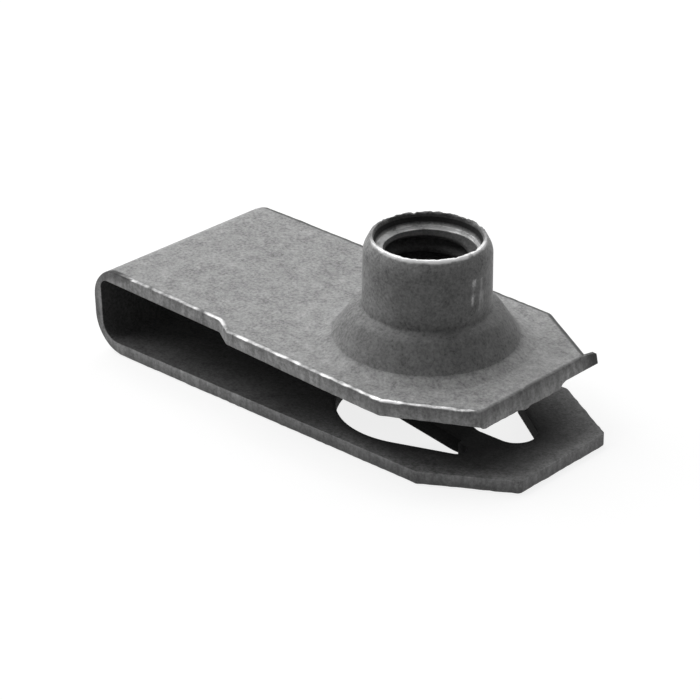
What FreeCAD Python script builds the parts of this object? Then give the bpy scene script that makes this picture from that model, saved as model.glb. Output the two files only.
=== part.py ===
import FreeCAD, Part
import math
import os

from FreeCAD import Placement, Rotation, Vector

# A clip nut made from one strip of spring steel. The strip is folded into a U: the upper
# leg carries a drawn and threaded barrel, and the lower leg has the opening that the screw
# passes through, with a retaining tongue lanced up beside it.
# Millimetres, +Z up. The clip is shaped about the axis of the lower leg's opening, in the
# plane that the leg lies on, with +X to the open end of the U and Y across it. All named
# x values are measured from that axis. At the end the clip is moved along X, so that the
# origin lies under the middle of its length.

# Sheet
sheet = 0.9

# Fold: its back is thinned and nearly flat, and its inner corners are tight
strip_width = 14.3
fold_to_axis = 22.95
fold_wall = 0.75
fold_low_outer_r = 2.6
fold_high_outer_r = 2.3
fold_low_inner_r = 1.3
fold_high_inner_r = 0.6

# Gap between the legs at the opening's axis, and how far they close towards the open end
leg_gap = 3.54
legs_converge_deg = 1.9

# Upper leg, wider than the strip from a step onwards
nut_width = 16.0
step_start = 11.0
step_length = 1.5
step_corner_r = 0.4
upper_end = 8.62
upper_chamfer_start = 3.4
upper_end_width = 10.0
upper_corner_r = 0.5
shear_lean = 0.22
ear_length = 0.97
ear_thickness = 0.2
ear_height = 0.68

# Lower leg, longer than the upper one, with the same kind of chamfered end
lower_end = 10.95
lower_chamfer_start = 5.5
lower_end_width = 8.0
lower_corner_r = 0.4

# Drawn barrel, heights above the upper face of the upper leg
draw_r = 7.2
foot_r = 6.8
foot_corner_r = 1.5
crease_r = 5.9
crease_height = 0.42
crease_corner_r = 0.5
neck_r = 4.02
neck_height = 3.15
neck_corner_r = 1.2
barrel_r = 3.96
shoulder_height = 6.2
shoulder_corner_r = 1.0
rim_outer_r = 3.56
rim_wall = 0.17
barrel_height = 6.97

# Inside of the barrel: the bore is the thread's crest line
bore_r = 2.5
thread_root_r = 3.0
crown_depth = 0.67
countersink_depth = 0.45
entry_height = 2.9
entry_chamfer = 0.6
skirt_inner_r = 5.35
skirt_inner_drop = 0.25
skirt_corner_r = 0.5
hollow_mouth_r = 6.8
hollow_corner_r = 1.0

# Opening in the lower leg: a round hole, a slot towards the open end and a slit
opening_r = 5.7
slot_end_x = 6.85
slot_end_r = 1.3
slot_far_deg = 34.0
slit_deg = 20.0
slit_width = 1.7
slit_end_r = 0.6

# Retaining tongue, whose straight neck stands between the slot and the slit
neck_far_y = -0.8
neck_near_y = -2.83
tongue_tip_x = 0.6
tongue_tip_r = 0.3
tongue_bend_x = 5.05
tongue_bend_r = 0.8
tongue_rise_deg = 25.0
screw_clear_r = 3.4

# The upper leg's own frame: its upper face is the plane z = 0, and the barrel's axis is z.
upper_height = sheet + leg_gap + sheet
upper_place = Placement(
    Vector(0, 0, upper_height), Rotation(Vector(0, 1, 0), legs_converge_deg)
)
converge = math.radians(legs_converge_deg)
# Both legs are flat from where the fold's corners end.
legs_start_x = max(fold_low_outer_r, fold_high_outer_r) + sheet - fold_to_axis


def flat(a, b):
    return Vector(a, b, 0)


def upright(a, b):
    return Vector(a, 0, b)


def rounded_face(corners, plane):
    """Face inside a closed outline of (a, b, radius) corners, each rounded by a tangent arc."""
    stretches = []
    for i, (a, b, radius) in enumerate(corners):
        corner = flat(a, b)
        back = flat(*corners[i - 1][:2]) - corner
        ahead = flat(*corners[(i + 1) % len(corners)][:2]) - corner
        if radius == 0:
            stretches.append([corner])
            continue
        half = back.getAngle(ahead) / 2
        back.normalize()
        ahead.normalize()
        inward = back + ahead
        inward.normalize()
        run = radius / math.tan(half)
        middle = corner + inward * (radius / math.sin(half) - radius)
        stretches.append([corner + back * run, middle, corner + ahead * run])
    edges = []
    for i, stretch in enumerate(stretches):
        points = [plane(p.x, p.y) for p in stretch]
        if len(points) == 3:
            edges.append(Part.Arc(*points).toShape())
        following = stretches[(i + 1) % len(stretches)][0]
        edges.append(Part.makeLine(points[-1], plane(following.x, following.y)))
    return Part.Face(Part.Wire(edges))


def corners_of(*points):
    """Sharp corners of an outline through points."""
    return [(p.x, p.y, 0) for p in points]


def plate(corners, z_low, z_high):
    """Flat plate of an outline, between two heights."""
    face = rounded_face(corners, flat)
    face.translate(Vector(0, 0, z_low))
    return face.extrude(Vector(0, 0, z_high - z_low))


def disc(x, y, radius, z_low, z_high):
    return Part.makeCylinder(radius, z_high - z_low, Vector(x, y, z_low))


def mirrored(half_outline):
    """Whole outline from its half with y above 0, listed from the fold to the open end."""
    other_half = [(x, -y, radius) for x, y, radius in reversed(half_outline)]
    return half_outline + other_half


def fold():
    """The bend that joins the two legs, as one section across the strip."""
    outer_x = -fold_to_axis
    inner_x = outer_x + fold_wall
    outer_high = upper_place.multVec(upright(legs_start_x, 0))
    inner_high = upper_place.multVec(upright(legs_start_x, -sheet))
    rise = math.tan(converge)
    section = rounded_face(
        [
            (legs_start_x, 0, 0),
            (outer_x, 0, fold_low_outer_r),
            (outer_x, outer_high.z + (outer_high.x - outer_x) * rise, fold_high_outer_r),
            (outer_high.x, outer_high.z, 0),
            (inner_high.x, inner_high.z, 0),
            (inner_x, inner_high.z + (inner_high.x - inner_x) * rise, fold_high_inner_r),
            (inner_x, sheet, fold_low_inner_r),
            (legs_start_x, sheet, 0),
        ],
        upright,
    )
    bend = section.extrude(Vector(0, strip_width, 0))
    bend.translate(Vector(0, -strip_width / 2, 0))
    return bend


def upper_leg():
    """Flat sheet of the upper leg, in its own frame, with the round area of the draw left out."""
    side = nut_width / 2
    corner_y = upper_end_width / 2
    slope = (side - corner_y) / (upper_end - upper_chamfer_start)
    foot_x = upper_end + shear_lean
    half = [
        (legs_start_x, strip_width / 2, 0),
        (-step_start, strip_width / 2, step_corner_r),
        (-step_start + step_length, side, step_corner_r),
        (upper_chamfer_start, side, upper_corner_r),
        (foot_x, corner_y - shear_lean * slope, upper_corner_r),
    ]
    leg = plate(mirrored(half), -sheet, 0)
    # The two shear cuts miss each other at the far corner, and leave a small ear there.
    ear_corners = corners_of(
        flat(foot_x - ear_thickness - shear_lean, corner_y - upper_corner_r),
        flat(foot_x, corner_y - upper_corner_r),
        flat(foot_x, corner_y + ear_length),
        flat(foot_x - ear_thickness - shear_lean, corner_y + ear_length),
    )
    ear = plate(ear_corners, -sheet, ear_height - sheet)
    # The end is sheared: its cut face leans out towards the underside.
    cut_face = [
        upright(upper_end, 0),
        upright(foot_x, -sheet),
        upright(foot_x, 0),
        upright(upper_end, 0),
    ]
    offcut = Part.Face(Part.makePolygon(cut_face)).extrude(Vector(0, nut_width, 0))
    offcut.translate(Vector(0, -side, 0))
    return leg.fuse(ear).cut(offcut).cut(disc(0, 0, draw_r, -sheet, 0))


def drawn_barrel():
    """Skirt, barrel and rim as one revolved section, in the upper leg's frame."""
    crown_floor = barrel_height - crown_depth
    section = rounded_face(
        [
            (draw_r, -sheet, 0),
            (draw_r, 0, 0),
            (foot_r, 0, foot_corner_r),
            (crease_r, crease_height, crease_corner_r),
            (neck_r, neck_height, neck_corner_r),
            (barrel_r, shoulder_height, shoulder_corner_r),
            (rim_outer_r, barrel_height, 0),
            (rim_outer_r - rim_wall, barrel_height, 0),
            (thread_root_r + rim_wall, crown_floor, 0),
            (bore_r, crown_floor - countersink_depth, 0),
            (bore_r, entry_height, 0),
            (thread_root_r + rim_wall, entry_height - entry_chamfer, 0),
            (skirt_inner_r, -skirt_inner_drop, skirt_corner_r),
            (hollow_mouth_r, -sheet, hollow_corner_r),
        ],
        upright,
    )
    return section.revolve(Vector(0, 0, 0), Vector(0, 0, 1), 360)


def beside_slit(along, distance):
    """Point in the slit's own directions: along it, and out from the opening's axis."""
    slope = math.radians(slit_deg)
    ahead = flat(math.cos(slope), math.sin(slope))
    out = flat(math.sin(slope), -math.cos(slope))
    return ahead * along + out * distance


def on_slit_side(distance, y):
    """Point with a given y on the line parallel to the slit at a distance from the axis."""
    slope = math.radians(slit_deg)
    return beside_slit((y + distance * math.cos(slope)) / math.sin(slope), distance)


def tongue_plan(z_low, z_high):
    """Plan of the tongue from its root to its tip, kept clear of the screw."""
    side = opening_r - slit_width
    neck_corner = on_slit_side(side, neck_near_y)
    slope = math.radians(slit_deg)
    tip_near = beside_slit((tongue_tip_x - side * math.sin(slope)) / math.cos(slope), side)
    corners = [
        (slot_end_x, neck_near_y, 0),
        (slot_end_x, neck_far_y, 0),
        (tongue_tip_x, neck_far_y, 0),
        (tongue_tip_x, tip_near.y, tongue_tip_r),
        (neck_corner.x, neck_corner.y, 0),
    ]
    return plate(corners, z_low, z_high).cut(disc(0, 0, screw_clear_r, z_low, z_high))


def tongue():
    """Tongue, bent up from the lower leg at a line across its neck."""
    rise = math.radians(tongue_rise_deg)
    reach = (tongue_bend_x - tongue_tip_x) * 1.5
    outer_r = tongue_bend_r + sheet
    centre = upright(tongue_bend_x, outer_r)

    def on_bend(radius, angle):
        return centre - upright(math.sin(angle), math.cos(angle)) * radius

    along = upright(-math.cos(rise), math.sin(rise)) * reach
    low = [on_bend(outer_r, rise * share) for share in (0, 0.5, 1)]
    high = [on_bend(tongue_bend_r, rise * share) for share in (1, 0.5, 0)]
    side = Part.Wire(
        [
            Part.Arc(*low).toShape(),
            Part.makeLine(low[-1], low[-1] + along),
            Part.makeLine(low[-1] + along, high[0] + along),
            Part.makeLine(high[0] + along, high[0]),
            Part.Arc(*high).toShape(),
            Part.makeLine(high[-1], low[0]),
        ]
    )
    bent_strip = Part.Face(side).extrude(Vector(0, -strip_width / 2, 0))
    return bent_strip.common(tongue_plan(-sheet, reach))


def screw_opening(low, high):
    """Everything pierced out of the lower leg, between two heights."""
    hole = disc(0, 0, opening_r, low, high)
    # Slot: its near side is the neck's far edge, and its far side runs out of the round hole.
    slot_end = flat(slot_end_x, neck_far_y + slot_end_r)
    lean = math.radians(slot_far_deg)
    out = flat(math.sin(lean), math.cos(lean))
    slot_corners = corners_of(
        flat(0, neck_far_y),
        flat(slot_end_x, neck_far_y),
        slot_end,
        slot_end + out * slot_end_r,
        out * (slot_end.dot(out) + slot_end_r),
    )
    slot = plate(slot_corners, low, high)
    slot_round = disc(slot_end.x, slot_end.y, slot_end_r, low, high)
    # Slit: its near side is tangent to the round hole, and its round end touches the neck.
    end_distance = opening_r - slit_end_r
    slit_end = on_slit_side(end_distance, neck_near_y - slit_end_r)
    slit_corners = corners_of(
        beside_slit(0, opening_r),
        slit_end + beside_slit(0, slit_end_r),
        slit_end,
        slit_end + flat(0, slit_end_r),
        on_slit_side(opening_r - slit_width, neck_near_y),
        beside_slit(0, opening_r - slit_width),
    )
    slit = plate(slit_corners, low, high)
    slit_round = disc(slit_end.x, slit_end.y, slit_end_r, low, high)
    opening = hole.fuse([slot, slot_round, slit, slit_round, tongue_plan(low, high)])
    # The neck's root, from the bend outwards, belongs to the leg.
    root = plate(
        [
            (tongue_bend_x, neck_near_y, 0),
            (slot_end_x, neck_near_y, 0),
            (slot_end_x, neck_far_y, 0),
            (tongue_bend_x, neck_far_y, 0),
        ],
        low,
        high,
    )
    return opening.cut(root)


def lower_leg():
    """Flat sheet of the lower leg, with its opening and its tongue."""
    half = [
        (legs_start_x, strip_width / 2, 0),
        (lower_chamfer_start, strip_width / 2, lower_corner_r),
        (lower_end, lower_end_width / 2, lower_corner_r),
    ]
    sheet_plate = plate(mirrored(half), 0, sheet)
    return sheet_plate.cut(screw_opening(-sheet, 2 * sheet)).fuse(tongue())


def clip():
    top = upper_leg().fuse(drawn_barrel())
    top.Placement = upper_place.multiply(top.Placement)
    whole = lower_leg().fuse([fold(), top]).removeSplitter()
    whole.translate(Vector((fold_to_axis - lower_end) / 2, 0, 0))
    return whole


os.makedirs("parts", exist_ok=True)
u_nut_clip = clip()
u_nut_clip.exportStep("parts/u_nut_clip.step")
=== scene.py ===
import math

import bmesh
import bpy
from mathutils import Matrix, Vector, noise


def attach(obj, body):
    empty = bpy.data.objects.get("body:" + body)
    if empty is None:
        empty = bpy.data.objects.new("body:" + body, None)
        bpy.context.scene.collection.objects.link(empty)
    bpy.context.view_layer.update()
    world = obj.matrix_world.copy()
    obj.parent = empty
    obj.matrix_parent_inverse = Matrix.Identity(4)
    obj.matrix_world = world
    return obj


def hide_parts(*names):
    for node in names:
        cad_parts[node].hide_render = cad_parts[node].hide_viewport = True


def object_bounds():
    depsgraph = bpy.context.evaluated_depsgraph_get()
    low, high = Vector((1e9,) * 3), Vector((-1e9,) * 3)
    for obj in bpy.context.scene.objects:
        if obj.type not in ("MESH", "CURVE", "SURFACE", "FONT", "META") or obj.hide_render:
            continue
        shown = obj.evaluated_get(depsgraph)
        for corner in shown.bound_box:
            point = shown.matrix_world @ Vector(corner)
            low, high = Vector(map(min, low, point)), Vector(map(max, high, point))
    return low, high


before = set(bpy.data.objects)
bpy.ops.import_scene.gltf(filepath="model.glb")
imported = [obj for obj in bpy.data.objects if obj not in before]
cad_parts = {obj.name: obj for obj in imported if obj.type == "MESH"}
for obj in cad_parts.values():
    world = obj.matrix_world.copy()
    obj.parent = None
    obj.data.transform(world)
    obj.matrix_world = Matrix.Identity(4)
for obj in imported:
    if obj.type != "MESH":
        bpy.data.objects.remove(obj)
cad_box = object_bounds()

# Lower leg: the flat half of the strip that lies against the panel. It is blanked and pierced
# from 0.9 mm spring steel, with a round opening that runs out into a slot and a slit.
# All of the clip is shaped in millimetres, with the barrel's axis at x = y = 0.
SHEET = 0.9
STRIP_SIDE = 7.15
LEGS_START = -19.45
BLANK_CORNER_R = 0.4
CORNER_FACETS = 6
LOWER_CHAMFER_X = 5.5
LOWER_END_X = 10.95
LOWER_END_SIDE = 4.0
LOWER_LEG_OUTLINE = [
    (LEGS_START, STRIP_SIDE, 0),
    (LOWER_CHAMFER_X, STRIP_SIDE, BLANK_CORNER_R),
    (LOWER_END_X, LOWER_END_SIDE, BLANK_CORNER_R),
    (LOWER_END_X, -LOWER_END_SIDE, BLANK_CORNER_R),
    (LOWER_CHAMFER_X, -STRIP_SIDE, BLANK_CORNER_R),
    (LEGS_START, -STRIP_SIDE, 0),
]
OPENING_R = 5.7
OPENING_SWEEP = math.radians(-247.39)
OPENING_STEPS = 72
OPENING_REACH = 8.4
OPENING_SIDE = 6.9
SLIT_LEAN = math.radians(20)
SLIT_CENTRE = (5.488, -3.43)
SLIT_STEPS = 10
SLOT_LEAN = math.radians(34)
SLOT_CENTRE = (6.85, 0.5)
SLOT_R = 1.3
SLOT_STEPS = 14
NECK_FAR = -0.8
NECK_NEAR = -2.83
BEND_X = 5.05
RIM_STEP = 0.35
RIM_FACETS = 3
SHARP_EDGE = 1.0
FLAT_EDGE = 0.01
BURR = 0.4
BURR_FLATNESS = 0.3
ROLL_OVER = 0.06
PIERCED_RIM = 0.04
SHEARED_FADE = 0.05
TOUCH = 0.001
# Painted shade and light on the lower leg: its top darkens towards the fold under the upper leg,
# its cut edges grow lighter towards the fold, the opening's top rim is near black, and its burr and
# far roll-over are dark.
EDGE_COVERED_X = (-4, -10)
EDGE_SHADE = (0.36, 0.6)
FACE_COVERED_X = (0.5, -5.5)
FACE_SHADE = (0.6, 1.1)
PIERCED_SHADE = 1.5
PAINTED_BURR_SHADE = -1.2
PAINTED_ROLL_OVER_SHADE = -1
ROLL_OVER_SHADE_Y = 3.9


def outline(form, corners):
    """Edges of a closed outline of (x, y, radius) corners."""
    face = form.faces.new([form.verts.new((x, y, 0)) for x, y, _ in corners])
    turns = []
    for loop, (_, _, radius) in zip(list(face.loops), corners):
        if radius:
            turns.append((loop.vert, radius / math.tan(loop.calc_angle() / 2)))
    for corner, run in turns:
        bmesh.ops.bevel(
            form, geom=[corner], offset=run, offset_type="OFFSET", segments=CORNER_FACETS,
            profile=0.5, affect="VERTICES", material=-1,
        )
    bmesh.ops.delete(form, geom=form.faces[:], context="FACES_ONLY")


def lies_at(x, start, end):
    """Test for an edge that lies across the strip at x."""
    return abs(start.x - x) < TOUCH and abs(end.x - x) < TOUCH


def divide(form, whole_at):
    """Cuts each long edge into short ones, apart from those that lie across one x."""
    for edge in form.edges[:]:
        cuts = int(edge.calc_length() / RIM_STEP)
        start, end = edge.verts
        if cuts and not lies_at(whole_at, start.co, end.co):
            bmesh.ops.subdivide_edges(form, edges=[edge], cuts=cuts)


def arc(form, start, centre, sweep, steps):
    """Last vert of an arc from a first vert round a centre, in the sheet's plane."""
    made = bmesh.ops.spin(
        form, geom=[start], cent=(*centre, 0), axis=(0, 0, 1), angle=sweep, steps=steps,
    )
    return made["geom_last"][0]


def thicken(form, thickness):
    """Fills an outline with its holes, and gives the sheet its thickness."""
    bmesh.ops.triangle_fill(form, edges=form.edges[:], use_beauty=True)
    inner = [edge for edge in form.edges if edge.is_manifold]
    bmesh.ops.dissolve_limit(form, angle_limit=FLAT_EDGE, verts=[], edges=inner)
    raised = bmesh.ops.extrude_face_region(form, geom=form.faces[:])["geom"]
    verts = [item for item in raised if isinstance(item, bmesh.types.BMVert)]
    bmesh.ops.translate(form, verts=verts, vec=(0, 0, thickness))
    bmesh.ops.recalc_face_normals(form, faces=form.faces[:])


def trim(form, z, width, chosen):
    """Rounds the cut rims at one height whose ends pass a test."""
    rims = []
    for edge in form.edges:
        start, end = edge.verts
        level = abs(start.co.z - z) < TOUCH and abs(end.co.z - z) < TOUCH
        if level and edge.calc_face_angle(0) > SHARP_EDGE and chosen(start.co, end.co):
            rims.append(edge)
    bmesh.ops.bevel(
        form, geom=rims, offset=width, offset_type="OFFSET", segments=RIM_FACETS,
        profile=0.5, affect="EDGES", material=-1,
    )


def tone_layers(form):
    """Layers that tell how far a vert is sheared, how bright it is and how deep it lies.

    Brightness is bare metal with painted highlights above 0, and painted shade below 0.
    The deeper a vert lies, the darker its coat is painted, as painted shade.
    """
    layers = form.verts.layers.float
    return [layers.get(name) or layers.new(name) for name in ("sheared", "bright", "depth_and_shade")]


def mark(form, burr_tone):
    """Fills the tone layers of a sheet whose burr side lies at z = 0, and flattens its burr."""
    sheared, bright, depth_and_shade = tone_layers(form)
    for vert in form.verts:
        below = abs(vert.co.z)
        # Painted shade: the inner face of each leg, which looks into the fold's gap, lies deepest
        # and gets the darkest coat.
        vert[depth_and_shade] = below / SHEET
        vert[sheared] = min(1, below / SHEARED_FADE, (SHEET - below) / SHEARED_FADE)
        if TOUCH < below < BURR - TOUCH:
            vert[bright] = burr_tone(vert.co)
        if below < BURR + TOUCH:
            vert.co.z *= BURR_FLATNESS


def share(value, start, end):
    """How far a value is on its way from start to end, held between 0 and 1."""
    return min(1, max(0, (value - start) / (end - start)))


def in_opening(start, end):
    """Test for a rim of the lower leg's opening."""
    return all(
        place.xy.length < OPENING_REACH and abs(place.y) < OPENING_SIDE for place in (start, end)
    )


lower_leg = bmesh.new()
outline(lower_leg, LOWER_LEG_OUTLINE)
divide(lower_leg, LEGS_START)
opening_foot = lower_leg.verts.new(
    (OPENING_R * math.sin(SLIT_LEAN), -OPENING_R * math.cos(SLIT_LEAN), 0)
)
round_end = arc(lower_leg, opening_foot, (0, 0), OPENING_SWEEP, OPENING_STEPS)
slot_start = lower_leg.verts.new(
    (
        SLOT_CENTRE[0] + SLOT_R * math.sin(SLOT_LEAN),
        SLOT_CENTRE[1] + SLOT_R * math.cos(SLOT_LEAN),
        0,
    )
)
slot_end = arc(lower_leg, slot_start, SLOT_CENTRE, SLOT_LEAN - math.pi, SLOT_STEPS)
neck_far = lower_leg.verts.new((BEND_X, NECK_FAR, 0))
neck_near = lower_leg.verts.new((BEND_X, NECK_NEAR, 0))
slit_start = lower_leg.verts.new((SLIT_CENTRE[0], NECK_NEAR, 0))
slit_end = arc(lower_leg, slit_start, SLIT_CENTRE, SLIT_LEAN - math.pi, SLIT_STEPS)
lower_leg.edges.new((round_end, slot_start))
lower_leg.edges.new((slot_end, neck_far))
lower_leg.edges.new((neck_near, slit_start))
lower_leg.edges.new((slit_end, opening_foot))
lower_leg.edges.new((neck_far, neck_near))
thicken(lower_leg, SHEET)
for z in (0, SHEET):
    trim(lower_leg, z, PIERCED_RIM, lambda a, b: in_opening(a, b) and not lies_at(BEND_X, a, b))
for z, width in ((0, BURR), (SHEET, ROLL_OVER)):
    trim(lower_leg, z, width, lambda a, b: not in_opening(a, b) and not lies_at(LEGS_START, a, b))
# Painted shade on the bottom burr.
mark(lower_leg, lambda place: PAINTED_BURR_SHADE)
sheared, bright, depth_and_shade = tone_layers(lower_leg)
# Painted shade on the top towards the fold and in the opening, painted light on the cut edges
# towards the fold, and painted shade on the far roll-over.
for vert in lower_leg.verts:
    on_edge = vert[sheared] > 0.5
    covered = share(vert.co.x, *(EDGE_COVERED_X if on_edge else FACE_COVERED_X))
    open_shade, covered_shade = EDGE_SHADE if on_edge else FACE_SHADE
    vert[depth_and_shade] *= open_shade + (covered_shade - open_shade) * covered
    if vert.co.z > TOUCH and in_opening(vert.co, vert.co):
        vert[sheared] = 0
        vert[bright] = 0
        vert[depth_and_shade] = PIERCED_SHADE
    elif TOUCH < SHEET - vert.co.z < ROLL_OVER - TOUCH and vert.co.y > ROLL_OVER_SHADE_Y:
        vert[bright] = PAINTED_ROLL_OVER_SHADE

# Tongue: a sprung finger, lanced out of the lower leg on three sides and bent up at its neck.
# It bears on the screw's thread, so the nut stays put while the screw is started.
TONGUE_BEND_R = 0.8
TONGUE_RISE = math.radians(25)
TONGUE_TIP_X = 0.6
TONGUE_ROOT_X = 3.9
SLIT_WIDTH = 1.7
TONGUE_SIDE = OPENING_R - SLIT_WIDTH
SCREW_CLEAR_R = 3.4
BEND_STEPS = 6
REACH_STEP = 0.16
REACH_STEPS = 28
UPRIGHT = 0.5


def push(form, wall, stations, place):
    """Extrudes a wall through stations. Each of its verts keeps its share of the section."""
    shares = [vert.co.copy() for vert in wall.verts]
    for station in stations:
        wall = bmesh.ops.extrude_discrete_faces(form, faces=[wall])["faces"][0]
        for vert, section in zip(wall.verts, shares):
            vert.co = place(station, section)
    return wall


def wall_at(form, x, y=0):
    """Upright face of a form that stands nearest to a place."""
    form.normal_update()
    walls = [face for face in form.faces if abs(face.normal.z) < UPRIGHT]
    return min(walls, key=lambda face: (face.calc_center_median().xy - Vector((x, y))).length)


def on_tongue(station, section):
    """Place on the tongue of a neck vert, at an angle in the bend and a run beyond it."""
    angle, run = station
    radius = TONGUE_BEND_R + SHEET - section.z
    x = BEND_X - radius * math.sin(angle) - run * math.cos(angle)
    z = TONGUE_BEND_R + SHEET - radius * math.cos(angle) + run * math.sin(angle)
    if x < TONGUE_TIP_X:
        z -= (TONGUE_TIP_X - x) * math.tan(angle)
        x = TONGUE_TIP_X
    near = x * math.tan(SLIT_LEAN) - TONGUE_SIDE / math.cos(SLIT_LEAN)
    near = max(near, NECK_NEAR) if x > TONGUE_ROOT_X else near
    far = NECK_FAR
    if x < math.sqrt(SCREW_CLEAR_R**2 - NECK_FAR**2):
        far = -math.sqrt(SCREW_CLEAR_R**2 - x * x)
    return Vector((x, near + (far - near) * share(section.y, NECK_NEAR, NECK_FAR), z))


bend = [(TONGUE_RISE * step / BEND_STEPS, 0) for step in range(1, BEND_STEPS + 1)]
reach = [(TONGUE_RISE, REACH_STEP * step) for step in range(1, REACH_STEPS + 1)]
neck = wall_at(lower_leg, BEND_X, (NECK_FAR + NECK_NEAR) / 2)
push(lower_leg, neck, bend + reach, on_tongue)

# Fold: the bend that joins the two legs. The strip is folded over a bar, thins a little there,
# and keeps a wider turn below than above.
FOLD_X = -22.95
FOLD_WALL = 0.75
FOLD_INNER_X = FOLD_X + FOLD_WALL
LOW_OUTER_R = 2.6
LOW_INNER_R = 1.3
HIGH_OUTER_R = 2.3
HIGH_INNER_R = 0.6
FOLD_STEPS = 12
CONVERGE = math.radians(1.9)
UPPER_HEIGHT = 5.34
QUARTER = math.pi / 2
to_upper = Matrix.Translation((0, 0, UPPER_HEIGHT)) @ Matrix.Rotation(CONVERGE, 4, "Y")


def turn_from(centre, radius, start, sweep):
    """Points of an arc of the fold's section, in x and z."""
    angles = [start + sweep * step / FOLD_STEPS for step in range(FOLD_STEPS + 1)]
    return [centre + radius * Vector((math.cos(angle), math.sin(angle))) for angle in angles]


def fold_line(x, low_z, low_r, high_r, leg_end):
    """Line of one side of the fold, from the lower leg round to the upper leg's end."""
    corner_z = leg_end.y + (leg_end.x - x) * math.tan(CONVERGE)
    high_z = corner_z - high_r / math.tan((QUARTER - CONVERGE) / 2)
    low_turn = turn_from(Vector((x + low_r, low_z + low_r)), low_r, -QUARTER, -QUARTER)
    high_turn = turn_from(Vector((x + high_r, high_z)), high_r, math.pi, -QUARTER - CONVERGE)
    return low_turn + high_turn + [leg_end]


def on_fold(station, section):
    """Place of a section vert of the strip at one station of the fold."""
    point = station[0].lerp(station[1], section.z / SHEET)
    return Vector((point.x, section.y, point.y))


high_out = (to_upper @ Vector((LEGS_START, 0, 0))).xz
high_in = (to_upper @ Vector((LEGS_START, 0, -SHEET))).xz
outer = fold_line(FOLD_X, 0, LOW_OUTER_R, HIGH_OUTER_R, high_out)
inner = fold_line(FOLD_INNER_X, SHEET, LOW_INNER_R, HIGH_INNER_R, high_in)
fold_end = push(lower_leg, wall_at(lower_leg, LEGS_START), list(zip(outer, inner)), on_fold)
bmesh.ops.delete(lower_leg, geom=[fold_end], context="FACES")

# Upper leg: the other half of the strip, wider round the barrel, with its corners sheared off.
# The end is cut last, in a stroke that misses the far corner and leaves a small ear there.
DRAW_R = 7.2
DRAW_MARGIN = 0.02
NUT_SIDE = 8.0
STEP_FROM = -11.0
STEP_TO = -9.5
UPPER_CHAMFER_X = 3.4
UPPER_END_X = 8.84
UPPER_END_SIDE = 4.873
SHEAR_CORNER_R = 0.5
UPPER_LEG_OUTLINE = [
    (LEGS_START, STRIP_SIDE, 0),
    (STEP_FROM, STRIP_SIDE, BLANK_CORNER_R),
    (STEP_TO, NUT_SIDE, BLANK_CORNER_R),
    (UPPER_CHAMFER_X, NUT_SIDE, SHEAR_CORNER_R),
    (UPPER_END_X, UPPER_END_SIDE, SHEAR_CORNER_R),
    (UPPER_END_X, -UPPER_END_SIDE, SHEAR_CORNER_R),
    (UPPER_CHAMFER_X, -NUT_SIDE, SHEAR_CORNER_R),
    (STEP_TO, -NUT_SIDE, BLANK_CORNER_R),
    (STEP_FROM, -STRIP_SIDE, BLANK_CORNER_R),
    (LEGS_START, -STRIP_SIDE, 0),
]
SHEAR_LEAN = 0.22
SHEAR_FROM = 8.3
SHEAR_JOG = 0.05
JOG_FROM = -0.7
FAR_BURR_Y = 4.9
END_BURR_X = 8.2
# Burr tones: painted shade on the far side, a painted highlight round the near corner, and bare
# metal with a painted highlight along the near side and the strip.
HIGHLIT_CORNER_X = (2.8, 4.4)
FAR_BURR_SHADE = -0.9
PLAIN_BURR = 0.1
CORNER_BURR_HIGHLIGHT = 2.2
NUT_BURR = 1
STRIP_BURR = 0.85
STRIP_BURR_TO = -11.2
LIFT_FROM = 0.2
LIFT_RUN = 2
BURR_LIFT = 0.03
BURR_TEAR = 0.06
BURR_NOTCHES = (1.7, 5, 0.5)
NUT_END_X = (-3, 2)
NUT_END_SHADE = 0.6
HANG_SWAY = 0.3
HANG_GRAIN = 2
END_HANG = 0.18
END_HANG_FROM = 8.7
END_HANG_Y = (2.7, 2.2)
MID_HANG = 0.13
MID_HANG_Y = (-1.7, -1.2)
NEAR_HANG = 0.11
NEAR_HANG_FROM = -4.803
NEAR_HANG_X = (-9, -1)
EAR_SIZE = (0.3, 1.5, 0.86)
EAR_PLACE = (8.64, 5.25, -0.445)
EAR_TIP_FROM = 5.5
EAR_TIP_Z = -0.26
EAR_SHORT = 1.0
EAR_SHADE = 0.3
TURNS = 128

upper_leg = bmesh.new()
outline(upper_leg, UPPER_LEG_OUTLINE)
divide(upper_leg, LEGS_START)
bmesh.ops.create_circle(upper_leg, segments=TURNS, radius=DRAW_R)
thicken(upper_leg, -SHEET)


def drawn(start, end):
    """Test for a rim of the round area that the barrel is drawn from."""
    return all(place.xy.length < DRAW_R + DRAW_MARGIN for place in (start, end))


def upper_burr(place):
    """Tone of the burr: painted shade on the far side, plain at the end, a strong painted highlight
    at the near corner, and bare metal with a painted highlight elsewhere.
    """
    if place.y > FAR_BURR_Y:
        return FAR_BURR_SHADE
    if place.x > END_BURR_X:
        return PLAIN_BURR
    if HIGHLIT_CORNER_X[0] < place.x < HIGHLIT_CORNER_X[1]:
        return CORNER_BURR_HIGHLIGHT
    return NUT_BURR if place.x > STRIP_BURR_TO else STRIP_BURR


def notches(place, grain):
    """Unevenness of a torn edge, as coarse notches with a share of fine ones."""
    coarse, fine, fine_share = grain
    return noise.noise(place * coarse) + fine_share * noise.noise(place * fine)


def hang(place):
    """How far the lower rim hangs down: most in the middle of the end, less on the near side."""
    if place.x > END_HANG_FROM:
        return share(place.y, *END_HANG_Y) * (END_HANG + MID_HANG * share(place.y, *MID_HANG_Y))
    if place.y < NEAR_HANG_FROM:
        return NEAR_HANG * share(place.x, *NEAR_HANG_X)
    return 0


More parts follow.
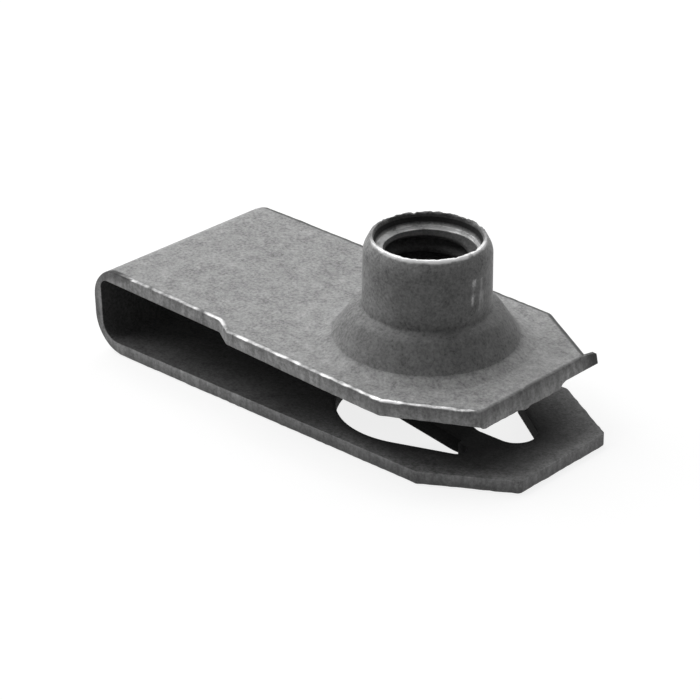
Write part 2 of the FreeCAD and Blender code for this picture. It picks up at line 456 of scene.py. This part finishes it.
for z, width in ((0, BURR), (-SHEET, ROLL_OVER)):
    trim(upper_leg, z, width, lambda a, b: not drawn(a, b) and not lies_at(LEGS_START, a, b))
mark(upper_leg, upper_burr)
sheared, bright, depth_and_shade = tone_layers(upper_leg)
for vert in upper_leg.verts:
    # Painted shade: the cut edges darken towards the nut end.
    if vert[sheared] > 0.5:
        vert[depth_and_shade] *= 1 - (1 - NUT_END_SHADE) * share(vert.co.x, *NUT_END_X)
    if vert[bright] > LIFT_FROM:
        lift = max(0, BURR_LIFT + BURR_TEAR * notches(vert.co, BURR_NOTCHES)) * vert[bright]
        vert.co.z += share(vert.co.x, LEGS_START, LEGS_START + LIFT_RUN) * lift
upper_leg.normal_update()
open_walls = [wall_at(upper_leg, LEGS_START)]
for face in upper_leg.faces:
    radius = face.calc_center_median().xy.length
    if abs(face.normal.z) < UPRIGHT and abs(radius - DRAW_R) < DRAW_MARGIN:
        open_walls.append(face)
bmesh.ops.delete(upper_leg, geom=open_walls, context="FACES")
for vert in upper_leg.verts:
    if TOUCH < vert.co.z + SHEET < 2 * ROLL_OVER:
        vert.co.z -= hang(vert.co) * (1 + HANG_SWAY * noise.noise(vert.co * HANG_GRAIN))
    if vert.co.x > SHEAR_FROM:
        height = min(1, (vert.co.z + SHEET) / SHEET)
        lean = SHEAR_LEAN * height * (vert.co.x - SHEAR_FROM) / (UPPER_END_X - SHEAR_FROM)
        vert.co.x -= lean + (SHEAR_JOG if vert.co.y > JOG_FROM else 0)

ear = bmesh.ops.create_cube(upper_leg, size=1)["verts"]
bmesh.ops.scale(upper_leg, vec=EAR_SIZE, verts=ear)
bmesh.ops.translate(upper_leg, vec=EAR_PLACE, verts=ear)
for vert in ear:
    tip = vert.co.y > EAR_TIP_FROM
    if tip and vert.co.z > -SHEET / 2:
        vert.co.z = EAR_TIP_Z
    vert.co.x -= SHEAR_LEAN * (vert.co.z + SHEET) / SHEET
    vert[sheared] = 1
    # Painted shade on the ear's tip.
    vert[bright] = PAINTED_BURR_SHADE if tip else 0
    vert[depth_and_shade] = EAR_SHADE
ear_edges = [edge for edge in upper_leg.edges if edge.verts[0] in ear and edge.verts[1] in ear]
bmesh.ops.bevel(
    upper_leg, geom=[edge for edge in ear_edges if edge.calc_length() < EAR_SHORT],
    offset=PIERCED_RIM, offset_type="OFFSET", segments=2, profile=0.5, affect="EDGES",
    material=-1,
)

# Barrel: drawn up out of the upper leg in one stroke, so its skirt is domed above and hollow
# below. Its rim is left as the draw tore it, and its bore is tapped M6 x 1.
BARREL_SECTION = [
    (DRAW_R, -SHEET, 0),
    (DRAW_R, 0, 0),
    (6.75, 0, 0.4),
    (5.82, 0.4, 0.08),
    (5.3, 1.2, 0.6),
    (4.7, 2.1, 0.7),
    (4.02, 2.42, 0.18),
    (3.96, 6.2, 1.0),
    (3.56, 6.97, 0.06),
    (3.39, 6.97, 0.06),
    (3.17, 6.17, 0.05),
    (2.78, 6.1, 0.04),
    (2.5, 5.8, 0),
    (2.5, 2.9, 0),
    (3.17, 2.3, 0),
    (5.2, -0.25, 0.5),
    (6.4, -SHEET, 0.8),
]
THREAD_STEP = 0.06
THREAD_WITHIN = 3.2
THREAD_PITCH = 1.0
THREAD_CREST_R = 2.5
THREAD_DEPTH = 0.5
THREAD_FLANK = (0.25, 0.87)
TAPPED_Z = (2.25, 6.15)
BORE_WITHIN = 3.45
FUNNEL_TOP = 2.7
FUNNEL_FOOT = (5.6, 0.08)
FUNNEL_LEAN = 0.76
HOLLOW_FROM = 3.1
HOLLOW_FLOOR = -0.5
NEAR_RIGHT = Vector((0.69, -0.72))
RIM_FROM = 6.75
RIM_TOP_FROM = 6.9
RIM_NOTCHES = (2.2, 5, 0.6)
RIM_FADE = 6
RIM_HIGHLIGHT_FACING = (-0.6, 0.4)
RIM_HIGHLIGHT = 0.5
RIM_HIGHLIGHT_GAIN = 2.1
RIM_HIGHLIGHT_LIMIT = 1.8
SPLINTER_GRAIN = 11
SPLINTER_SHARE = 0.4
TEAR_DEPTH = 0.16
TEAR_SWAY = 0.02
TEAR_KEPT = 0.4
LEDGE_R = (2.76, 3.2)
LEDGE_Z = (6.0, 6.25)
LEDGE_HIGHLIGHT = 0.9
STREAKS_Z = (3.2, 5.6)
STREAKS_TURN = (-0.1, 0.5)
STREAKS_GRAIN = (34, 0.6)
STREAKS_HIGHLIGHT = 0.15
STREAKS_HIGHLIGHT_GAIN = 1.7
SPOT_Z = (0.8, 1.6)
SPOT_TURN = (0.9, 1.05)
SPOT_HIGHLIGHT = 0.5
SKIRT_Z = (0.3, 2.6)
SKIRT_SHADE = 0.4
BORE_SHADE = 1.25
HOLLOW_SHADE = 1.5

barrel = bmesh.new()
outline(barrel, BARREL_SECTION)
bmesh.ops.rotate(barrel, matrix=Matrix.Rotation(QUARTER, 3, "X"), verts=barrel.verts[:])
for edge in barrel.edges[:]:
    radii = [vert.co.x for vert in edge.verts]
    step = THREAD_STEP if max(radii) < THREAD_WITHIN else RIM_STEP
    cuts = int(edge.calc_length() / step)
    if min(radii) > DRAW_R - TOUCH:
        barrel.edges.remove(edge)
    elif cuts:
        bmesh.ops.subdivide_edges(barrel, edges=[edge], cuts=cuts)
bmesh.ops.spin(
    barrel, geom=barrel.verts[:] + barrel.edges[:], cent=(0, 0, 0), axis=(0, 0, 1),
    angle=2 * math.pi, steps=TURNS, use_merge=True,
)
sheared, bright, depth_and_shade = tone_layers(barrel)


def between(value, span):
    """Test for a value inside a span."""
    return span[0] < value < span[1]


def tear(vert, facing):
    """Paints a highlight and bare steel on the rim where it faces the near right,
    and tears it down on the other side.
    """
    torn = notches(vert.co, RIM_NOTCHES)
    away = TEAR_KEPT + (1 - TEAR_KEPT) * max(0, -facing)
    bare = min(1, (vert.co.z - RIM_FROM) * RIM_FADE)
    # Painted highlight: bare steel and a bright top where the rim faces the near right.
    vert[sheared] = bare * share(facing, *RIM_HIGHLIGHT_FACING)
    if vert.co.z > RIM_TOP_FROM:
        vert[bright] = min(RIM_HIGHLIGHT_LIMIT, facing * RIM_HIGHLIGHT_GAIN + RIM_HIGHLIGHT)
    splinters = SPLINTER_SHARE * noise.noise(vert.co * SPLINTER_GRAIN)
    vert.co.z -= TEAR_DEPTH * away * abs(torn + splinters)
    vert.co.xy *= 1 - TEAR_SWAY * away * torn


def tone_inside(vert, radius):
    """Paints shade into the bore and the hollow, and a highlight on the ledge in the barrel's
    mouth.
    """
    if between(radius, LEDGE_R) and between(vert.co.z, LEDGE_Z):
        # Painted highlight on the ledge.
        vert[bright] = LEDGE_HIGHLIGHT
        vert[depth_and_shade] = 0
    # Painted shade in the hollow and the bore.
    elif vert.co.z < HOLLOW_FLOOR:
        vert[depth_and_shade] = 1
    else:
        vert[depth_and_shade] = HOLLOW_SHADE if radius > HOLLOW_FROM else BORE_SHADE


def tone_outside(vert, turn):
    """Paints shade on the skirt, and highlights in streaks and a spot on the barrel's far right."""
    # Painted highlights in streaks and a spot on the barrel's far right.
    if between(vert.co.z, STREAKS_Z) and between(turn, STREAKS_TURN):
        place = Vector((turn * STREAKS_GRAIN[0], vert.co.z * STREAKS_GRAIN[1], 0))
        vert[bright] = max(0, STREAKS_HIGHLIGHT_GAIN * noise.noise(place) + STREAKS_HIGHLIGHT)
    elif between(vert.co.z, SPOT_Z) and between(turn, SPOT_TURN):
        vert[bright] = SPOT_HIGHLIGHT
    # Painted shade on the skirt.
    if between(vert.co.z, SKIRT_Z):
        vert[depth_and_shade] = SKIRT_SHADE


for vert in barrel.verts:
    radius = vert.co.xy.length
    turn = math.atan2(vert.co.y, vert.co.x)
    funnel_r = FUNNEL_FOOT[0] - (vert.co.z - FUNNEL_FOOT[1]) * FUNNEL_LEAN
    in_funnel = vert.co.z < FUNNEL_TOP and radius < funnel_r
    if vert.co.z > RIM_FROM:
        tear(vert, NEAR_RIGHT.dot(vert.co.xy) / radius)
    elif radius < BORE_WITHIN or in_funnel or vert.co.z < -TOUCH:
        tone_inside(vert, radius)
    else:
        tone_outside(vert, turn)
    if radius < THREAD_CREST_R + THREAD_DEPTH and between(vert.co.z, TAPPED_Z):
        ridge = abs((vert.co.z / THREAD_PITCH - turn / (2 * math.pi)) % 1 - 0.5) * 2
        groove = THREAD_DEPTH * share(ridge, *THREAD_FLANK)
        vert.co.xy *= max(radius, THREAD_CREST_R + groove) / radius

# Whole clip: the legs, fold and barrel are one strip, so their forms are welded into one mesh.
# The coating is a matt grey phosphate, and the sheared edges are bare steel.
AXIS_X = 6
MILLIMETRE = 0.001
WELD = 0.002
BURR_RAGGEDNESS = 0.03
BURR_GRAIN = 3.1
SHEAR_WAVE = 0.02
SHEAR_GRAIN = 0.6

clip = bmesh.new()
for form, place in ((lower_leg, Matrix()), (upper_leg, to_upper), (barrel, to_upper)):
    part = bpy.data.meshes.new("part")
    form.to_mesh(part)
    form.free()
    part.transform(place)
    clip.from_mesh(part)
    bpy.data.meshes.remove(part)
bmesh.ops.remove_doubles(clip, verts=clip.verts[:], dist=WELD)
bmesh.ops.recalc_face_normals(clip, faces=clip.faces[:])
to_frame = Matrix.Scale(MILLIMETRE, 4) @ Matrix.Translation((AXIS_X, 0, 0))
bmesh.ops.transform(clip, matrix=to_frame, verts=clip.verts[:])
clip.normal_update()
sheared, bright, depth_and_shade = tone_layers(clip)
shifts = []
for vert in clip.verts:
    place = vert.co / MILLIMETRE
    ragged = BURR_RAGGEDNESS * min(1, abs(vert[bright])) * noise.noise(place * BURR_GRAIN)
    wave = SHEAR_WAVE * vert[sheared] * noise.noise(place * SHEAR_GRAIN)
    shifts.append(vert.normal * (ragged + wave) * MILLIMETRE)
for vert, shift in zip(clip.verts, shifts):
    vert.co += shift
    for axis in range(3):
        vert.co[axis] = min(max(vert.co[axis], cad_box[0][axis]), cad_box[1][axis])
for face in clip.faces:
    face.smooth = True
clip_mesh = bpy.data.meshes.new("clip_body")
clip.to_mesh(clip_mesh)
clip.free()
clip_body = bpy.data.objects.new("clip_body", clip_mesh)
bpy.context.scene.collection.objects.link(clip_body)
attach(clip_body, "root")
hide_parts("u_nut_clip")
even_normals = clip_body.modifiers.new("even_normals", "WEIGHTED_NORMAL")
even_normals.weight = 100


class Signal:
    """Value of a node's output that takes part in sums as a number does."""

    def __init__(self, finish, socket):
        self.finish = finish
        self.socket = socket

    def combine(self, operation, first, second):
        return self.finish.add("Math", {"operation": operation}, {0: first, 1: second})

    def __add__(self, other):
        return self.combine("ADD", self, other)

    def __sub__(self, other):
        return self.combine("SUBTRACT", self, other)

    def __mul__(self, other):
        return self.combine("MULTIPLY", self, other)

    def __rsub__(self, other):
        return self.combine("SUBTRACT", other, self)

    __radd__ = __add__
    __rmul__ = __mul__


class Finish:
    """Material or world whose nodes are added one by one."""

    def __init__(self, tree):
        self.tree = tree
        self.tree.nodes.clear()

    def add(self, kind, settings=None, inputs=None, output=0):
        """New node, as the signal of one of its outputs."""
        node = self.tree.nodes.new("ShaderNode" + kind)
        for name, value in (settings or {}).items():
            setattr(node, name, value)
        for name, value in (inputs or {}).items():
            if isinstance(value, Signal):
                self.tree.links.new(value.socket, node.inputs[name])
            else:
                node.inputs[name].default_value = value
        return Signal(self, node.outputs[output]) if node.outputs else None

    def tone(self, name):
        """Tone layer of the mesh."""
        return self.add("Attribute", {"attribute_name": name}, output="Fac")

    def ramp(self, value, low, high):
        """Share of the way from low to high, held between 0 and 1."""
        return self.add("MapRange", {"clamp": True}, {0: value, 1: low, 2: high})


COAT_GREY = 0.335
COAT_SHADE = 0.21
GRAIN_CONTRAST = 1.9
CLOUD_CONTRAST = 0.7
BARE_GREY = 0.125
BARE_LOWER_GAIN = 0.17
BARE_LOWER_SPAN = (0.2, 0.6)
BARE_STREAKS = 1.4
BARE_SPECKLE = 0.8
# Grey of bare metal with painted highlights, and strength of painted shade on rims.
WEAR_AND_HIGHLIGHT_GREY = 0.25
WEAR_AND_HIGHLIGHT_GAIN = 0.2
WEAR_AND_HIGHLIGHT_SPAN = (0.25, 0.95)
WEAR_AND_HIGHLIGHT_PATCHES = 2.4
WEAR_AND_HIGHLIGHT_COVER = 0.8
RIM_SHADE_SPAN = (0.2, 0.8)
RIM_SHADE_STRENGTH = 0.75
METAL_SHARE = 0.45
COAT_ROUGHNESS = 0.55
GRAIN_ROUGHNESS = 0.2
INSIDE_ROUGHNESS = 0.3
WORN_SMOOTHNESS = 0.1
CRYSTAL_RELIEF = 0.4
CRYSTAL_HEIGHT = 0.00003

steel = bpy.data.materials.new("grey_phosphate")
steel.use_nodes = True
coat = Finish(steel.node_tree)
place = coat.add("TexCoord", output="Object")
long_place = coat.add("Mapping", inputs={"Vector": place, "Scale": (3000, 3000, 700)})
clouds = coat.add("TexNoise", inputs={"Vector": place, "Scale": 350, "Detail": 5, "Roughness": 0.6})
patches = coat.add("TexNoise", inputs={"Vector": place, "Scale": 1300, "Detail": 4})
grain = coat.add("TexNoise", inputs={"Vector": place, "Scale": 5200, "Detail": 3, "Roughness": 0.7})
crystals = coat.add("TexVoronoi", inputs={"Vector": place, "Scale": 6500})
streaks = coat.add("TexNoise", inputs={"Vector": long_place, "Scale": 1, "Detail": 4})
speckle = (grain - 0.5) * GRAIN_CONTRAST + (patches - 0.5) + (clouds - 0.5) * CLOUD_CONTRAST
cut = coat.tone("sheared")
wear_and_painted_light = coat.tone("bright")
shade = coat.tone("depth_and_shade")
# Painted shade: the coat darkens with the deep layer, highest in the fold's gap, the opening, the
# skirt, the bore and the hollow.
inside = shade * (1 - cut)
coated = (1 + speckle) * (COAT_GREY - inside * COAT_SHADE)
bare = BARE_GREY + coat.ramp(shade, *BARE_LOWER_SPAN) * BARE_LOWER_GAIN
bare = bare * (1 + (streaks - 0.5) * BARE_STREAKS) * (1 + speckle * BARE_SPECKLE)
# Bare metal with painted highlights, where the bright layer is above 0.
worn_and_highlit = coat.ramp(wear_and_painted_light * (WEAR_AND_HIGHLIGHT_COVER + (patches - 0.5) * WEAR_AND_HIGHLIGHT_PATCHES), *WEAR_AND_HIGHLIGHT_SPAN)
# Painted shade on rims, where the bright layer is below 0.
painted_rim_shade = coat.ramp(0 - wear_and_painted_light, *RIM_SHADE_SPAN)
grey = coated * (1 - cut) + bare * cut
grey = grey * (1 - worn_and_highlit) + (WEAR_AND_HIGHLIGHT_GREY + wear_and_painted_light * WEAR_AND_HIGHLIGHT_GAIN) * worn_and_highlit
grey = grey * (1 - painted_rim_shade * RIM_SHADE_STRENGTH)
rough = COAT_ROUGHNESS + (grain - 0.5) * GRAIN_ROUGHNESS + inside * INSIDE_ROUGHNESS
relief = grain + crystals * CRYSTAL_RELIEF + streaks * cut
surface = coat.add(
    "Bump", inputs={"Strength": 0.6, "Distance": CRYSTAL_HEIGHT, "Height": relief}
)
shader = coat.add(
    "BsdfPrincipled",
    inputs={
        "Base Color": grey,
        "Metallic": cut * METAL_SHARE + worn_and_highlit * METAL_SHARE,
        "Roughness": rough - worn_and_highlit * WORN_SMOOTHNESS,
        "Specular IOR Level": 0.35,
        "Normal": surface,
    },
)
coat.add("OutputMaterial", inputs={"Surface": shader})
clip_mesh.materials.append(steel)

# Floor: one large pale sheet under the clip. The camera and the steel's reflections see it
# white, and it keeps the clip's soft shadow.
FLOOR_SIZE = 1.5
FLOOR_GREY = 0.25
FLOOR_WHITE_GAIN = 0.7
FLOOR_GLOW = 1.15
GLOW_SHARE = 0.72

floor_mesh = bpy.data.meshes.new("floor")
floor_form = bmesh.new()
bmesh.ops.create_grid(floor_form, x_segments=1, y_segments=1, size=FLOOR_SIZE)
floor_form.to_mesh(floor_mesh)
floor_form.free()
floor = bpy.data.objects.new("floor", floor_mesh)
bpy.context.scene.collection.objects.link(floor)


def seen_directly(finish):
    """1 for camera, glossy and transmission rays, which see the white surroundings."""
    camera_ray = finish.add("LightPath", output="Is Camera Ray")
    glossy_ray = finish.add("LightPath", output="Is Glossy Ray")
    clear_ray = finish.add("LightPath", output="Is Transmission Ray")
    return camera_ray + glossy_ray + clear_ray


paper = bpy.data.materials.new("white_paper")
paper.use_nodes = True
sheet = Finish(paper.node_tree)
direct = seen_directly(sheet)
matt = sheet.add("BsdfDiffuse", inputs={"Color": FLOOR_GREY + direct * FLOOR_WHITE_GAIN})
glow = sheet.add("Emission", inputs={"Color": (1, 1, 1, 1), "Strength": FLOOR_GLOW})
both = sheet.add("MixShader", inputs={0: direct * GLOW_SHARE, 1: matt, 2: glow})
sheet.add("OutputMaterial", inputs={"Surface": both})
floor_mesh.materials.append(paper)

# Studio: a pale room with two soft lamps, a strong one high over the fold and a weak one high
# over the far side. The top of the clip is lit, and its near sides are left in shade.
ROOM_LIGHT = 0.08
SOFTBOX_SIZE = 0.32
SOFTBOXES = {
    "left_softbox": ((-0.208, -0.038, 0.253), 0.86),
    "back_softbox": ((-0.055, 0.205, 0.253), 0.4),
}
LAMP_TARGET = Vector((0, 0, 0.004))

room = bpy.data.worlds.new("pale_room")
bpy.context.scene.world = room
room.use_nodes = True
air = Finish(room.node_tree)
strength = ROOM_LIGHT + seen_directly(air) * (1 - ROOM_LIGHT)
haze = air.add("Background", inputs={"Color": (1, 1, 1, 1), "Strength": strength})
air.add("OutputWorld", inputs={"Surface": haze})

for name, (stand, power) in SOFTBOXES.items():
    softbox = bpy.data.lights.new(name, "AREA")
    softbox.size = SOFTBOX_SIZE
    softbox.energy = power
    lamp = bpy.data.objects.new(name, softbox)
    lamp.location = stand
    lamp.rotation_euler = (LAMP_TARGET - lamp.location).to_track_quat("-Z", "Y").to_euler()
    bpy.context.scene.collection.objects.link(lamp)

# Camera: a long lens at the photograph's viewing angle, which looks down on the clip from its
# near right. The clip fills most of the square picture.
CAMERA_PLACE = (0.097655, -0.102376, 0.072621)
CAMERA_PAN = math.radians(43.8066)
CAMERA_TILT = math.radians(-26.3495)
CAMERA_ROLL = math.radians(-1.2863)
CAMERA_LENS = 127.41

camera_data = bpy.data.cameras.new("camera")
camera_data.sensor_width = 36
camera_data.lens = CAMERA_LENS
camera_data.clip_start = 0.005
camera = bpy.data.objects.new("camera", camera_data)
camera.location = CAMERA_PLACE
camera.rotation_euler = (
    Matrix.Rotation(CAMERA_PAN, 3, "Z")
    @ Matrix.Rotation(QUARTER + CAMERA_TILT, 3, "X")
    @ Matrix.Rotation(CAMERA_ROLL, 3, "Z")
).to_euler()
bpy.context.scene.collection.objects.link(camera)
bpy.context.scene.camera = camera
bpy.context.scene.view_settings.view_transform = "Standard"
